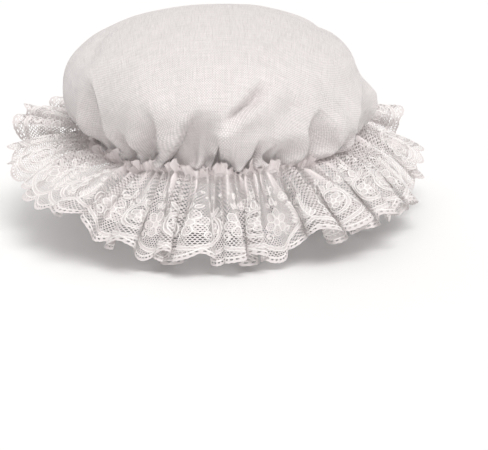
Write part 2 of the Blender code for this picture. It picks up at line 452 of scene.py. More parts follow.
class CapSizes(bpy.types.PropertyGroup):
    """Sizes of the cap"""

    half_width: metres("Half Width", "Half the opening's width inside the casing", 0.080, 0.05)
    half_depth: metres("Half Depth", "Half the opening's depth inside the casing", 0.099, 0.05)
    crown_height: metres("Crown Height", "Height of the crown above the stitches", 0.091, 0.04)
    neck_height: metres("Neck Height", "Height at which the crown starts to puff out", 0.007, 0.003)
    hem_below: metres("Hem Below", "How far the crown's hem reaches below the stitches", 0.0055, 0.001)
    crown_left: metres("Crown Left", "The crown's reach to the left", 0.109, 0.06)
    crown_right: metres("Crown Right", "The crown's reach to the right", 0.112, 0.06)
    crown_back: metres("Crown Back", "The crown's reach to the back", 0.122, 0.06)
    crown_front: metres("Crown Front", "The crown's reach to the front", 0.124, 0.06)
    crown_offset: metres("Crown Offset", "Distance of the crown's hem outside the opening", 0.0039, 0.002)
    fold_lap: metres("Fold Lap", "How far the linen laps over its deepest folds", 0.0050)
    fold_depth: metres("Fold Depth", "Depth of the pockets between the gathers", 0.0235)
    ridge_tip: metres("Ridge Tip", "How far the foot of a gather stands out over the stitches", 0.0050)
    pleat_depth: metres("Pleat Depth", "Depth of the small pleats above the crown's hem", 0.0016)
    dent_depth: metres("Dent Depth", "Depth of the soft dents in the puffed linen", 0.0030)
    linen_thread: metres("Linen Thread", "Distance between the linen's threads", 0.00100, 0.0003)
    weave_turn: in_degrees("Weave Turn", "Turn of the linen's threads from the line down the back", 2)
    crown_columns: whole("Crown Columns", "Columns of faces round the crown", 860, 144)
    casing_height: metres("Casing Height", "Height of the elastic casing", 0.012, 0.004)
    casing_wall: metres("Casing Wall", "Thickness of the elastic casing", 0.002, 0.0005)


class LaceSizes(bpy.types.PropertyGroup):
    """Sizes of the lace strip, as it lies flat and as it hangs"""

    drop: metres("Drop", "Width of the lace from its stitches to its edge", 0.063, 0.02)
    heading: metres("Heading", "Width of the small frill above the stitches", 0.0098, 0.001)
    heading_lean: in_degrees("Heading Lean", "How far the frill leans outwards", 32)
    offset: metres("Offset", "Distance of the stitches outside the opening", 0.0073, 0.004)
    scallops: whole("Scallops", "Scallops along the edge", 84, 12)
    scallop_width: metres("Scallop Width", "Width of one scallop of the flat lace", 0.018, 0.005)
    scallop_depth: metres("Scallop Depth", "How deep the notches between scallops are", 0.0056)
    garland_width: metres("Garland Width", "Width of the dotted garland above the scallops", 0.0024)
    net_pitch: metres("Net Pitch", "Distance between the holes of the net", 0.00165, 0.0008)
    net_hole: metres("Net Hole", "Radius of a hole of the open net", 0.00070, 0.0002)
    eyelets: whole("Eyelets", "Eyelets along one scallop", 9, 3)
    outline_width: metres("Outline Width", "Width of the raised thread round the flowers", 0.00090, 0.0002)
    flutes: whole("Flutes", "Flutes round the ruffle", 36, 6)
    flute_depth: metres("Flute Depth", "Half the height of a flute at the edge", 0.0074)
    flute_rounding: metres("Flute Rounding", "How far a flute bulges sideways at the edge", 0.0050)
    side_flutes: FloatProperty(
        name="Side Flutes", description="Depth of the flutes at the sides, as a share of the others",
        default=0.58, min=0, max=1, subtype="FACTOR",
    )
    sway: metres("Sway", "How far the line of stitches wanders up and down", 0.0028)
    pinch_depth: metres("Pinch Depth", "Height of the narrow pleats that run down from the stitches", 0.0026)
    gather_depth: metres("Gather Depth", "Half the height of the fine gathers at the stitches", 0.0014)


class CapColours(bpy.types.PropertyGroup):
    """Colours of the cap's cloths and of the stage"""

    linen: tint("Linen", "Colour of the crown", (0.795, 0.752, 0.750))
    lace: tint("Lace", "Colour of the net and its flowers", (0.745, 0.702, 0.698))
    outline: tint("Outline Thread", "Colour of the raised thread", (0.93, 0.90, 0.89))
    casing: tint("Casing", "Colour of the elastic casing", (0.80, 0.76, 0.75))
    floor: tint("Floor", "Colour of the floor", (0.95, 0.95, 0.95))


class StageSizes(bpy.types.PropertyGroup):
    """Floor and camera"""

    floor_height: metres("Floor Height", "Height of the floor", -0.058, -1)
    camera_height: in_degrees("Camera Angle", "The camera's angle above level", 13)
    camera_roll: in_degrees("Camera Roll", "How far the picture is turned", -2)
    camera_distance: metres("Camera Distance", "Distance from the camera to the origin", 1.5, 0.3)
    lens: FloatProperty(
        name="Lens", description="Focal length", default=158, min=20, subtype="DISTANCE_CAMERA", unit="CAMERA"
    )


def ease(value, start=0.0, span=1.0):
    """Smooth step from 0 to 1, which begins at start and takes a span."""
    share = np.clip((value - start) / span, 0.0, 1.0)
    return share * share * (3 - 2 * share)


def bell(value, middle=0.0, half_width=1.0):
    """Round bump of height 1."""
    across = (value - middle) / half_width
    return np.exp(-across * across)


def short_way(degrees):
    """The same turn in degrees, between -180 and 180."""
    return (degrees + 180) % 360 - 180


def turn_from(turn, centre):
    """Signed turn in degrees from a centre, the short way round."""
    return short_way(np.degrees(turn) - centre)


def ripple(turn, name):
    """Uneven wave round the cap, between about its amount up and down."""
    amount, seed, waves = RIPPLES[name]
    dice = np.random.default_rng(seed)
    total = np.zeros_like(turn)
    for number in waves:
        total += np.sin(number * turn + dice.uniform(0, TAU))
    return amount * (total / len(waves))


def cloud(points, size, seed, waves=14):
    """Smooth uneven value between about -1 and 1 at each point, with lumps of about this size."""
    dice = np.random.default_rng(seed)
    total = np.zeros(len(points))
    for _ in range(waves):
        way = dice.normal(size=3)
        way *= dice.uniform(0.7, 1.4) * math.pi / size / np.linalg.norm(way)
        total += np.sin(points @ way + dice.uniform(0, TAU))
    return total / math.sqrt(waves)


def unit(vectors):
    """Vectors at a length of 1."""
    return vectors / np.maximum(np.linalg.norm(vectors, axis=-1, keepdims=True), TINY)


def round_opening(s, turn, offset):
    """Points at an offset outside the opening, and the outward and sideways directions there."""
    zero = np.zeros_like(turn)
    point = np.stack((s.half_width * np.sin(turn), s.half_depth * np.cos(turn), zero), axis=1)
    outward = unit(np.stack((np.sin(turn) / s.half_width, np.cos(turn) / s.half_depth, zero), axis=1))
    sideways = np.stack((outward[:, 1], -outward[:, 0], zero), axis=1)
    return point + outward * np.broadcast_to(offset, turn.shape)[:, None], outward, sideways


def between_rows(rows, turn):
    """Columns of a table at these turns, eased from row to row."""
    rows = np.array(rows, dtype=float)
    degrees = turn_from(turn, 0)
    after = np.clip(np.searchsorted(rows[:, 0], degrees), 1, len(rows) - 1)
    low, high = rows[after - 1], rows[after]
    share = ease(degrees, low[:, 0], high[:, 0] - low[:, 0])
    return (low[:, 1:] + (high[:, 1:] - low[:, 1:]) * share[:, None]).T


def crown_profile(s):
    """Smooth rows of the crown's profile from the hem to just below the top, and the cloth above each."""
    tall = s.crown_height - s.neck_height
    rows = [(-(s.hem_below + s.neck_height) / tall, 1, 0, 0, 0, 0), (-s.neck_height / tall, 1, 0, 0, 0, 0)]
    rows = np.array(rows + list(CROWN_RINGS) + [(1, 0, 0, 0, 0, 0)], dtype=float)
    reach = (1 - rows[:, 4]) * rows[:, 1] * s.half_depth + rows[:, 4] * s.crown_back
    run = np.concatenate(([0], np.cumsum(np.hypot(np.diff(reach), np.diff(rows[:, 0] * tall)))))
    past_top = rows[-2] * (1, -1, -1, -1, -1, -1)
    slopes = np.gradient(np.vstack((rows, past_top)), np.append(run, 2 * run[-1] - run[-2]), axis=0)[:-1]
    close = np.linspace(0, CLOSE_RUN, CLOSE_ROWS, endpoint=False)
    spots = np.concatenate((close, np.linspace(CLOSE_RUN, run[-1], WIDE_ROWS)[:-1]))
    after = np.clip(np.searchsorted(run, spots), 1, len(rows) - 1)
    step = (run[after] - run[after - 1])[:, None]
    share = ((spots - run[after - 1]) / step[:, 0])[:, None]
    smooth = (
        (1 + 2 * share) * (1 - share) ** 2 * rows[after - 1]
        + share * (1 - share) ** 2 * step * slopes[after - 1]
        + share**2 * (3 - 2 * share) * rows[after]
        - share**2 * (1 - share) * step * slopes[after]
    )
    return smooth, run[-1] - spots


def edge_at(share, at_hem, halfway, at_top):
    """Turn of a pocket's edge, from the hem over its halfway point to the top."""
    return (
        at_hem * (1 - share) * (1 - 2 * share) + halfway * 4 * share * (1 - share)
        + at_top * share * (2 * share - 1)
    )


def fold_shape(turn, height):
    """Depth of the pockets as a share of the fold depth, and how far each point laps sideways."""
    deep = np.zeros_like(turn)
    lap = np.zeros_like(turn)
    for top, at_top, greater, greater_half, smaller, smaller_half, depth, lean in FOLDS:
        share = np.clip(height / (FADE_HEIGHT * top), 0, 1)
        arch = ARCH_SHARE * (greater_half - smaller_half)
        left = edge_at(share, greater, greater_half, at_top + arch)
        right = edge_at(share, smaller, smaller_half, at_top - arch)
        below_left = -turn_from(turn, left)
        above_right = turn_from(turn, right)
        width = np.maximum(left - right, 1.0)
        crisp = CRISP_WALL + CRISP_GROWTH * width + ARCH_GROWTH * share**2
        soft = crisp + SOFT_GROWTH * width
        from_left = ease(TURNED_IN + below_left / (crisp if lean > 0 else soft))
        from_right = ease(TURNED_IN + above_right / (soft if lean > 0 else crisp))
        fade = ease(1.15 * (1 - share))
        deep += depth * from_left * from_right * fade
        lip = -below_left if lean > 0 else -above_right
        lap -= lean * bell(lip, *LIP) * fade
    return deep, lap


def crown_surface(s, turn, rows):
    """Points of the folded crown for a turn and a row of its profile each."""
    height, hem, left, right, back, front = rows.T
    share_x = np.where(np.sin(turn) > 0, left, right)
    share_y = np.where(np.cos(turn) > 0, back, front)
    reach_x = share_x * np.where(np.sin(turn) > 0, s.crown_left, s.crown_right)
    reach_y = share_y * np.where(np.cos(turn) > 0, s.crown_back, s.crown_front)
    hem_point, outward, sideways = round_opening(s, turn, s.crown_offset)
    puffed = hem_point * np.stack(((1 - share_x) * hem, (1 - share_y) * hem, np.zeros_like(hem)), axis=1)
    puffed[:, 0] += reach_x * np.sin(turn)
    puffed[:, 1] += reach_y * np.cos(turn)
    deep, lap = fold_shape(turn, np.clip(height, 0, 1))
    overhang = np.linalg.norm(hem_point - puffed, axis=1)
    folded = 1 - np.exp(-deep * s.fold_depth / np.maximum(overhang, 1e-6))
    points = puffed + (hem_point - puffed) * folded[:, None]
    points += sideways * (lap * s.fold_lap * ease(height, *LAP_START))[:, None]
    ridge = 1 - np.clip(1.3 * deep, 0, 1)
    points += outward * (s.ridge_tip * ridge * bell(height, *FOOT))[:, None]
    low = ease(height, *DROP_START) * (1 - ease(height, *DROP_END))
    lobe_turn, lobe_half, lobe_drop = LOBE
    drop = lobe_drop * s.crown_height * bell(turn_from(turn, lobe_turn), 0, lobe_half)
    drop += SAG * np.clip(between_rows(LACE_FALL, turn)[0] / 30, 0, 1)
    points[:, 2] = s.neck_height + height * (s.crown_height - s.neck_height) - drop * ridge * low
    return points


def grid_normals(points, rows, columns):
    """Outward normals of a closed grid of points, whose columns run round."""
    grid = points.reshape(rows, columns, 3)
    around = np.roll(grid, -1, axis=1) - np.roll(grid, 1, axis=1)
    return unit(-np.cross(around, np.gradient(grid, axis=0))).reshape(-1, 3)


def crown_points(s, columns):
    """Points of the crown with its pleats, dents and soft undulation, its flat cloth places, and its rows."""
    profile, run = crown_profile(s)
    turn = np.tile(np.arange(columns) * TAU / columns, len(profile))
    rows = np.repeat(profile, columns, axis=0)
    points = crown_surface(s, turn, rows)
    normals = grid_normals(points, len(profile), columns)
    height = rows[:, 0]
    above = np.clip(height, 0, 1)
    # Pleats above the hem
    fine = np.cos(FINE_PLEATS * turn + ripple(turn, "fine pleats"))
    fine_fade = (0.45 + 0.55 * ease(height, *FINE_START)) * bell(above, 0, FINE_REACH)
    broad = np.cos(BROAD_PLEATS * turn + ripple(turn, "broad pleats") + 3 * above)
    broad_fade = ease(height, *BROAD_START) * bell(above, 0, BROAD_REACH)
    vary = 1 + ripple(turn, "pleat depth")
    move = s.pleat_depth * (0.55 * fine * fine_fade + 1.3 * vary * broad * (0.7 + 0.3 * broad) * broad_fade)
    # Dents, with distances as shares of the crown's height
    for turn_a, height_a, turn_b, height_b, half_width, depth in DENTS:
        across = turn_from(turn, turn_a) / DEGREES_TO_HEIGHT
        up = height - height_a
        way = np.array((short_way(turn_b - turn_a) / DEGREES_TO_HEIGHT, height_b - height_a))
        length = np.linalg.norm(way)
        way /= length
        ahead = across * way[0] + up * way[1]
        aside = across * way[1] - up * way[0]
        past = (ahead - length / 2) / (length * 0.62)
        move -= s.dent_depth * depth * bell(aside, 0, half_width) * np.exp(-(past**4))
    move += ease(height, *LUMPS_START) * sum(depth * cloud(points, size, seed) for depth, size, seed in LUMPS)
    cut = turn - s.weave_turn
    flat = np.stack((np.sin(cut), np.cos(cut)), axis=1) * np.repeat(run, columns)[:, None]
    return points + normals * move[:, None], flat, len(profile)


def lay_flat(mesh, flat):
    """Keeps the flat places of a mesh's points as its UV map."""
    corners = np.zeros(len(mesh.loops), dtype=np.int32)
    mesh.loops.foreach_get("vertex_index", corners)
    places = np.ascontiguousarray(flat[corners, :2], dtype=np.float32).ravel()
    mesh.uv_layers.new(name="Cloth").data.foreach_set("uv", places)


def mesh_from(name, points, faces, edges=()):
    """Mesh of these points, with smooth shading."""
    mesh = bpy.data.meshes.new(name)
    mesh.from_pydata(np.asarray(points).tolist(), edges, faces)
    mesh.update()
    mesh.shade_smooth()
    return mesh


def new_object(name, data, finish=None):
    """Object of this mesh, light or camera, linked to the scene."""
    thing = bpy.data.objects.new(name, data)
    bpy.context.scene.collection.objects.link(thing)
    if finish is not None and not data.materials:
        data.materials.append(finish)
    return thing


def ring_faces(grid):
    """Faces between the rows of a grid of point numbers, whose columns run round."""
    after = np.roll(grid, -1, axis=1)
    return np.stack((grid[:-1], after[:-1], after[1:], grid[1:]), axis=2).reshape(-1, 4).tolist()


def turn_at(lace, along):
    """Turn at which a place along the flat strip ends up."""
    return along / (lace.scallops * lace.scallop_width) * TAU


def gather_phase(turn):
    """Phase of the fine gathers at the stitches."""
    return GATHERS * turn + ripple(turn, "gathers")


def gather_crest(lace, along, below):
    """How far each place lies on the folded edge of a fine gather, where the net is doubled up. The whole
    frill above the stitches counts as crest too, which closes its holes and gives its thread painted light.
    """
    turn = turn_at(lace, along)
    reach = CREST_REACH * (1 + ripple(turn, "crest reach"))
    fade = 1 - ease(np.clip(below, 0, None) / reach)
    # The frill's share sets the painted light that lifts it out of the crown's shade
    return np.maximum(np.exp(3.5 * (np.cos(gather_phase(turn)) - 1)) * fade, 0.95 * (below < -0.001))


def ruffle_moves(lace, turn, below):
    """How far flutes, tucks and gathers move each place of the lace: out, sideways and up its fall."""
    spread = np.clip(below / lace.drop, 0, 1.1)
    # Flutes, of uneven width and depth
    drift = sum(share * np.sin(waves * turn + phase) for waves, share, phase in FLUTE_DRIFT)
    drift = drift + 0.16 * spread * ripple(turn, "flute drift")
    wave = lace.flutes * turn + TAU * drift
    at_sides = sum(bell(turn_from(turn, middle), 0, half_width) for middle, half_width in SIDES)
    uneven = (1 + ripple(turn, "flute depth")) * (1 - (1 - lace.side_flutes) * at_sides)
    out = lace.flute_depth * uneven * spread * (np.cos(wave) + 0.20 * np.cos(2 * wave + 1.1) * uneven)
    side = lace.flute_rounding * uneven * spread * np.sin(2 * wave + ripple(turn, "flute bulge"))
    side += FLUTE_SHIFT * spread * ripple(turn, "flute shift")
    # Tucks, each with a flute that laps over one side of it
    rise = np.zeros_like(turn)
    grown = spread**0.8
    for middle, half_width, deep, lean, drawn in TUCKS:
        across = turn_from(turn, middle) / half_width
        rise += drawn * bell(across * 0.8) * spread**2
        out -= lace.flute_depth * deep * bell(across) * grown
        side -= lean * lace.flute_rounding * 1.5 * deep * bell(across * lean, 0.9, 0.7) * grown
    # Pinched pleats, three to a flute
    pinch = 3 * wave + ripple(turn, "pinches")
    pinched = ease(below, *PINCH_START) * (1 - ease(below, *PINCH_END))
    vary = 1 + ripple(turn, "gather depth")
    out += lace.pinch_depth * (1.9 * np.exp(2.4 * (np.cos(pinch) - 1)) - 0.6) * pinched * vary
    side += lace.pinch_depth * 0.45 * np.sin(pinch + ripple(turn, "pinch bulge")) * pinched
    # Fine gathers
    gather = 1.7 * np.exp(1.6 * (np.cos(gather_phase(turn)) - 1)) * vary - 0.6
    out += lace.gather_depth * 0.9 * gather * np.where(below < 0, 1.0, 1 - ease(below, *GATHER_END))
    # Loops and curls of the frill above the stitches
    frill = np.clip(-below / lace.heading, 0, 1.2)
    loops = LOOPS * turn + ripple(turn, "loops")
    curls = CURLS * turn + ripple(turn, "curls")
    out += lace.gather_depth * frill * (1.3 * np.sin(loops) + 0.6 * np.sin(curls))
    side += lace.gather_depth * frill * (0.8 * np.sin(2 * loops + 0.7) + 0.4 * np.cos(curls))
    return out, side, rise * lace.drop


def tipped(outward, angle):
    """Outward direction, tipped down by an angle."""
    return outward * np.cos(angle)[:, None] - UP * np.sin(angle)[:, None]


def leaned(outward, angle):
    """Upright direction, leaned outwards by an angle."""
    return outward * np.sin(angle)[:, None] + UP * np.cos(angle)[:, None]


def ruffle_surface(s, lace, along, below):
    """Points of the gathered lace's middle surface, from places on the flat strip."""
    turn = turn_at(lace, along)
    foot, outward, sideways = round_opening(s, turn, lace.offset)
    foot[:, 2] += lace.sway * ripple(turn, "sway") * (1 - ease(below, *SWAY_END))
    at_stitches, at_edge = np.radians(between_rows(LACE_FALL, turn))
    fall = at_stitches + (at_edge - at_stitches) * np.clip(below / lace.drop, 0, 1.1)
    centre = foot + tipped(outward, (at_stitches + fall) / 2) * np.clip(below, 0, None)[:, None]
    lean = lace.heading_lean * (1 + ripple(turn, "heading lean"))
    # The frill is short where a gather of the crown stands over it, and full height in the pockets
    pocket = 0.42 + 0.58 * np.clip(1.2 * fold_shape(turn, np.full_like(turn, 0.04))[0], 0, 1)
    above = np.clip(-below, 0, None) * pocket * (1 + ripple(turn, "heading height"))
    centre += leaned(outward, lean) * above[:, None]
    frill = lean - math.pi / 2
    slope = np.where(below > 0.002, fall, (fall - frill) * ease(below / 0.004 + 0.5) + frill)
    # Normals of the frill point out of the cap
    normal = leaned(outward, slope)
    normal[(below < 0) & (np.sum(normal * outward, axis=1) < 0)] *= -1
    out, side, rise = ruffle_moves(lace, turn, below)
    centre -= tipped(outward, fall) * rise[:, None]
    return centre + normal * out[:, None] + sideways * side[:, None]


def gathered(s, lace, flat):
    """Points of flat lace (along, below, lift) after it is gathered, with its lift off the surface."""
    along, below, lift = flat.T
    points = ruffle_surface(s, lace, along, below)
    if np.any(np.abs(lift) > 1e-7):
        tip = 0.0002
        ahead = ruffle_surface(s, lace, along + tip, below) - ruffle_surface(s, lace, along - tip, below)
        down = ruffle_surface(s, lace, along, below + tip) - ruffle_surface(s, lace, along, below - tip)
        points = points + unit(np.cross(ahead, down)) * lift[:, None]
    return points


def gather_mesh(s, lace, mesh):
    """Gathers a flat mesh round the opening, and keeps its flat places and its gathers' crests, the mask of
    the lace's painted light.
    """
    flat = np.zeros(len(mesh.vertices) * 3)
    mesh.vertices.foreach_get("co", flat)
    flat = flat.reshape(-1, 3)
    for layer in list(mesh.uv_layers):
        mesh.uv_layers.remove(layer)
    mesh.vertices.foreach_set("co", gathered(s, lace, flat).ravel())
    lay_flat(mesh, flat)
    crest = gather_crest(lace, flat[:, 0], flat[:, 1]).astype(np.float32)
    mesh.attributes.new("crest", "FLOAT", "POINT").data.foreach_set("value", crest)
    for attribute in ("hole", "Middle"):
        if attribute in mesh.attributes:
            mesh.attributes.remove(mesh.attributes[attribute])
    mesh.update()
    mesh.shade_smooth()


def oval_outline(across, down, half_width, half_height, tilt=0.0, points=24):
    """Closed oval."""
    angle = np.linspace(0, TAU, points, endpoint=False)
    x, y = half_width * np.cos(angle), half_height * np.sin(angle)
    x, y = x * math.cos(tilt) - y * math.sin(tilt), x * math.sin(tilt) + y * math.cos(tilt)
    return np.stack((across + x, down + y), axis=1)


def leaf_outline(across, down, length, width, degrees, bend, points=8):
    """Closed outline of a pointed leaf and the line of its vein."""
    share = np.linspace(0, 1, points)
    half = width / 2 * np.sin(math.pi * share**0.85) ** 0.8
    turned = math.radians(degrees) + bend * (share - 0.5) * 2
    step = length / (points - 1)
    x = across + np.concatenate(([0], np.cumsum(np.cos(turned[:-1]) * step)))
    y = down + np.concatenate(([0], np.cumsum(np.sin(turned[:-1]) * step)))
    side = np.stack((-np.sin(turned), np.cos(turned)), axis=1) * half[:, None]
    vein = np.stack((x, y), axis=1)
    return np.concatenate((vein + side, (vein - side)[-2:0:-1])), vein


def scroll_line(across, down, first, last, from_angle, to_angle, points=26):
    """Spiral line that opens out from a curl."""
    share = np.linspace(0, 1, points)
    angle = np.radians(from_angle + (to_angle - from_angle) * share)
    reach = first * (last / first) ** share
    return np.stack((across + reach * np.cos(angle), down + reach * np.sin(angle)), axis=1)


def band_outline(line, band):
    """Closed outline of a band of this width along a line, with pointed ends."""
    way = unit(np.gradient(line, axis=0))
    share = np.linspace(0, 1, len(line))
    half = band / 2 * np.minimum(1, 4 * np.minimum(share + 0.1, 1.02 - share))
    side = np.stack((-way[:, 1], way[:, 0]), axis=1) * half[:, None]
    return np.concatenate((line + side, (line - side)[::-1]))


def lace_chart(lace):
    """One repeat of the lace, three scallops wide: shapes with their fill, and raised lines.

    Each shape is a closed outline and the share of the net's hole that is left open in it. Each line is
    its points and whether it closes.
    """
    repeat = REPEAT * lace.scallop_width
    size = np.array((repeat, lace.drop))
    shapes = []
    lines = []

    def work(outline, left_open):
        """Adds a closed shape that a raised line goes round."""
        shapes.append((outline, left_open))
        lines.append((outline, True))

    across, down, half_width, half_height, band = OVAL
    for inset, left_open in ((0, OVAL_RING), (band, NET)):
        reach = ((half_width - inset) * repeat, (half_height - inset) * repeat)
        work(oval_outline(*(size * (across, down)), *reach), left_open)
    for across, down, radius, petals, width, heart, turned in FLOWERS:
        middle = size * (across, down)
        for petal in range(petals):
            angle = turned + petal * TAU / petals
            half_length = (radius - heart) / 2
            spot = middle + repeat * (heart + half_length) * np.array((math.cos(angle), math.sin(angle)))
            work(oval_outline(*spot, half_length * repeat, width / 2 * repeat, angle, 12), PETAL)
        work(oval_outline(*middle, heart * repeat, heart * repeat, 0, 9), SOLID)
    for across, down, length, width, degrees, bend in LEAVES:
        work(leaf_outline(*(size * (across, down)), length * repeat, width * repeat, degrees, bend)[0], LEAF)
    for across, down, length, degrees, bend, pairs, leaf_length, leaf_width in SPRAYS:
        stalk = leaf_outline(*(size * (across, down)), length * repeat, 0, degrees, bend, 2 * pairs + 2)[1]
        lines.append((stalk, False))
        for pair in range(pairs):
            place = stalk[2 * pair + 1]
            way = stalk[2 * pair + 2] - place
            ahead = math.degrees(math.atan2(way[1], way[0]))
            shrink = repeat * (1 - 0.45 * pair / pairs)
            for side in (-1, 1):
                way_out = ahead + side * LEAFLET_ANGLE
                leaf = leaf_outline(*place, leaf_length * shrink, leaf_width * shrink, way_out, side * 0.2, 5)
                work(leaf[0], SOLID)
    for across, down, first, last, from_angle, to_angle, band in SCROLLS:
        line = scroll_line(*(size * (across, down)), first * repeat, last * repeat, from_angle, to_angle)
        shapes.append((band_outline(line, band * repeat), SOLID))
        lines.append((line, False))
    for across, down, radius in LOOSE_DOTS:
        work(oval_outline(*(size * (across, down)), radius * repeat, radius * repeat, 0, 7), SOLID)
    return shapes, lines


def inside(outline, x, y):
    """Which points lie inside a closed outline."""
    within = np.zeros(len(x), dtype=bool)
    for (x0, y0), (x1, y1) in zip(outline, np.roll(outline, -1, axis=0)):
        crosses = (y0 > y) != (y1 > y)
        if crosses.any():
            at = x0 + (y[crosses] - y0) / (y1 - y0) * (x1 - x0)
            within[crosses] ^= x[crosses] < at
    return within


def scallop_edge(lace, along):
    """How far below the stitches the scalloped edge lies."""
    place = (along / lace.scallop_width) % 1.0
    return lace.drop - lace.scallop_depth * np.abs(2 * place - 1) ** 2.2


def garland(lace, along):
    """How far below the stitches the inner garland hangs, which has two swags in one repeat."""
    place = (along / (SWAG_WIDTH * lace.scallop_width)) % 1.0
    return lace.drop * GARLAND_DOWN - lace.scallop_depth * GARLAND_DEPTH * np.abs(2 * place - 1) ** 2


def hole_sizes(lace, x, y):
    """Radius of the hole at each place of the net, or 0 where the pattern closes it."""
    repeat = REPEAT * lace.scallop_width
    swag = garland(lace, x)
    share = np.where(y > swag, 1.0, NET)
    share[np.abs(y - swag) < lace.garland_width / 2] = GARLAND
    within = x % repeat
    for outline, left_open in lace_chart(lace)[0]:
        low, high = outline.min(axis=0), outline.max(axis=0)
        for shift in (-repeat, 0, repeat):
            near = (within + shift >= low[0]) & (within + shift <= high[0]) & (y >= low[1]) & (y <= high[1])
            spots = np.nonzero(near)[0]
            share[spots[inside(outline, within[spots] + shift, y[spots])]] = left_open
    share *= 1 - 0.85 * np.clip(1.3 * gather_crest(lace, x, y), 0, 1)
    share[np.abs(y) < 0.001] = STITCHED
    dice = np.random.default_rng(HOLE_SEED)
    return lace.net_hole * share * dice.uniform(*HOLE_RANGE, len(x))


def net_cells(lace, from_along, to_along):
    """Points and faces of six-sided net cells, and the size of the hole in each."""
    columns = int(round((to_along - from_along) / lace.net_pitch))
    pitch = (to_along - from_along) / columns
    radius = pitch / math.sqrt(3)
    rows = int((lace.drop + lace.heading) / (1.5 * radius)) + 1
    column, row = np.meshgrid(np.arange(columns), np.arange(rows))
    middle = np.stack((2 * column + row % 2, 3 * row + 2), axis=-1).reshape(-1, 2)
    x = from_along + middle[:, 0] * pitch / 2
    y = -lace.heading + middle[:, 1] * radius / 2
    keep = y < scallop_edge(lace, x) - EDGE_BAND + 0.4 * radius
    corners = middle[keep][:, None] + np.array(((0, -2), (1, -1), (1, 1), (0, 2), (-1, 1), (-1, -1)))
    places, index = np.unique(corners.reshape(-1, 2), axis=0, return_inverse=True)
    points = np.zeros((len(places), 3))
    points[:, 0] = from_along + places[:, 0] * pitch / 2
    points[:, 1] = -lace.heading + places[:, 1] * radius / 2
    return points, index.reshape(-1, 6).tolist(), hole_sizes(lace, x[keep], y[keep])


def eyelet_cells(lace, from_scallop, to_scallop):
    """Points, faces and hole sizes of the firm edge: a row of eyelets between two solid bands."""
    halves = 2 * lace.eyelets
    steps = (to_scallop - from_scallop) * halves
    place = np.linspace(-1, 1, halves + 1)[:-1]
    eased = 0.5 + place / 2 * (1 - 0.06 * (place**2))
    along = np.concatenate([number + eased for number in range(from_scallop, to_scallop)])
    along = np.append(along, to_scallop) * lace.scallop_width
    edge = scallop_edge(lace, along)
    picot = PICOT * (np.arange(steps + 1) % 2)
    rows = [edge - height - (picot if height == 0 else 0) for height in EDGE_ROWS]
    points = np.array([(x, y, EDGE_LIFT) for row in rows for x, y in zip(along, row)])
    width = steps + 1
    faces = []
    holes = []
    for column in range(0, steps, 2):
        for row in (0, 3):
            for half in (column, column + 1):
                low = row * width + half
                faces.append((low, low + 1, low + 1 + width, low + width))
                holes.append(0.0)
        top, middle, bottom = (row * width + column for row in (1, 2, 3))
        faces.append((top, top + 1, top + 2, middle + 2, bottom + 2, bottom + 1, bottom, middle))
        holes.append(EYELET)
    return points, faces, np.array(holes)


def outline_wires(lace, first, last):
    """Raised lines of the lace between two scallops, each its points and whether it closes."""
    one_repeat = lace_chart(lace)[1]
    wires = []
    for number in range((last - first) // REPEAT):
        shift = np.array((first * lace.scallop_width + number * (REPEAT * lace.scallop_width), 0.0))
        wires += [(line + shift, closed) for line, closed in one_repeat]
    along = np.linspace(first, last, (last - first) * OUTLINE_STEPS + 1) * lace.scallop_width
    swag = garland(lace, along)
    half = lace.garland_width / 2
    for below in (scallop_edge(lace, along) - EDGE_BAND, swag - half, swag + half):
        wires.append((np.stack((along, below), axis=1), False))
    return wires


def wire(name, lines):
    """Flat mesh of open or closed lines, each its points and whether it closes."""
    edges = []
    first = 0
    for line, closed in lines:
        last = first + len(line) - 1
        edges += [(number, number + 1) for number in range(first, last)]
        if closed:
            edges.append((last, first))
        first = last + 1
    points = np.vstack([line for line, _ in lines])
    return mesh_from(name, np.pad(points, ((0, 0), (0, 1))), (), edges)


def add_node(tree, kind, sockets=(), **settings):
    """Adds a node with these settings and with links or values in its sockets, and gives its outputs."""
    node = tree.nodes.new(kind)
    for name, value in settings.items():
        setattr(node, name, value)
    for key, value in dict(sockets).items():
        if isinstance(value, bpy.types.NodeSocket):
            tree.links.new(value, node.inputs[key])
        else:
            node.inputs[key].default_value = value
    return node.outputs


def maths(tree, operation, *values):
    """Math node on these links or values."""
    return add_node(tree, "ShaderNodeMath", enumerate(values), operation=operation)["Value"]


def vector_maths(tree, operation, *values):
    """Vector Math node on these links or values."""
    return add_node(tree, "ShaderNodeVectorMath", enumerate(values), operation=operation)["Vector"]


def scaled(tree, vector, scale):
    """Vector Math node that multiplies a vector by a number."""
    return add_node(tree, "ShaderNodeVectorMath", {0: vector, "Scale": scale}, operation="SCALE")["Vector"]


def tree_with(name, sizes):
    """New Geometry Nodes tree with these named sizes and a material as inputs, and the inputs' links."""
    tree = bpy.data.node_groups.new(name, "GeometryNodeTree")
    new_socket = tree.interface.new_socket
    new_socket("Geometry", in_out="INPUT", socket_type="NodeSocketGeometry")
    for label, default in sizes.items():
        new_socket(label, in_out="INPUT", socket_type="NodeSocketFloat").default_value = default
    new_socket("Material", in_out="INPUT", socket_type="NodeSocketMaterial")
    new_socket("Geometry", in_out="OUTPUT", socket_type="NodeSocketGeometry")
    return tree, add_node(tree, "NodeGroupInput")


def finish_tree(tree, geometry, material):
    """Last nodes of each tree: real geometry with its material."""
    real = add_node(tree, "GeometryNodeRealizeInstances", {"Geometry": geometry})["Geometry"]
    sockets = {"Geometry": real, "Material": material}
    painted = add_node(tree, "GeometryNodeSetMaterial", sockets)["Geometry"]
    add_node(tree, "NodeGroupOutput", {"Geometry": painted})
    return tree


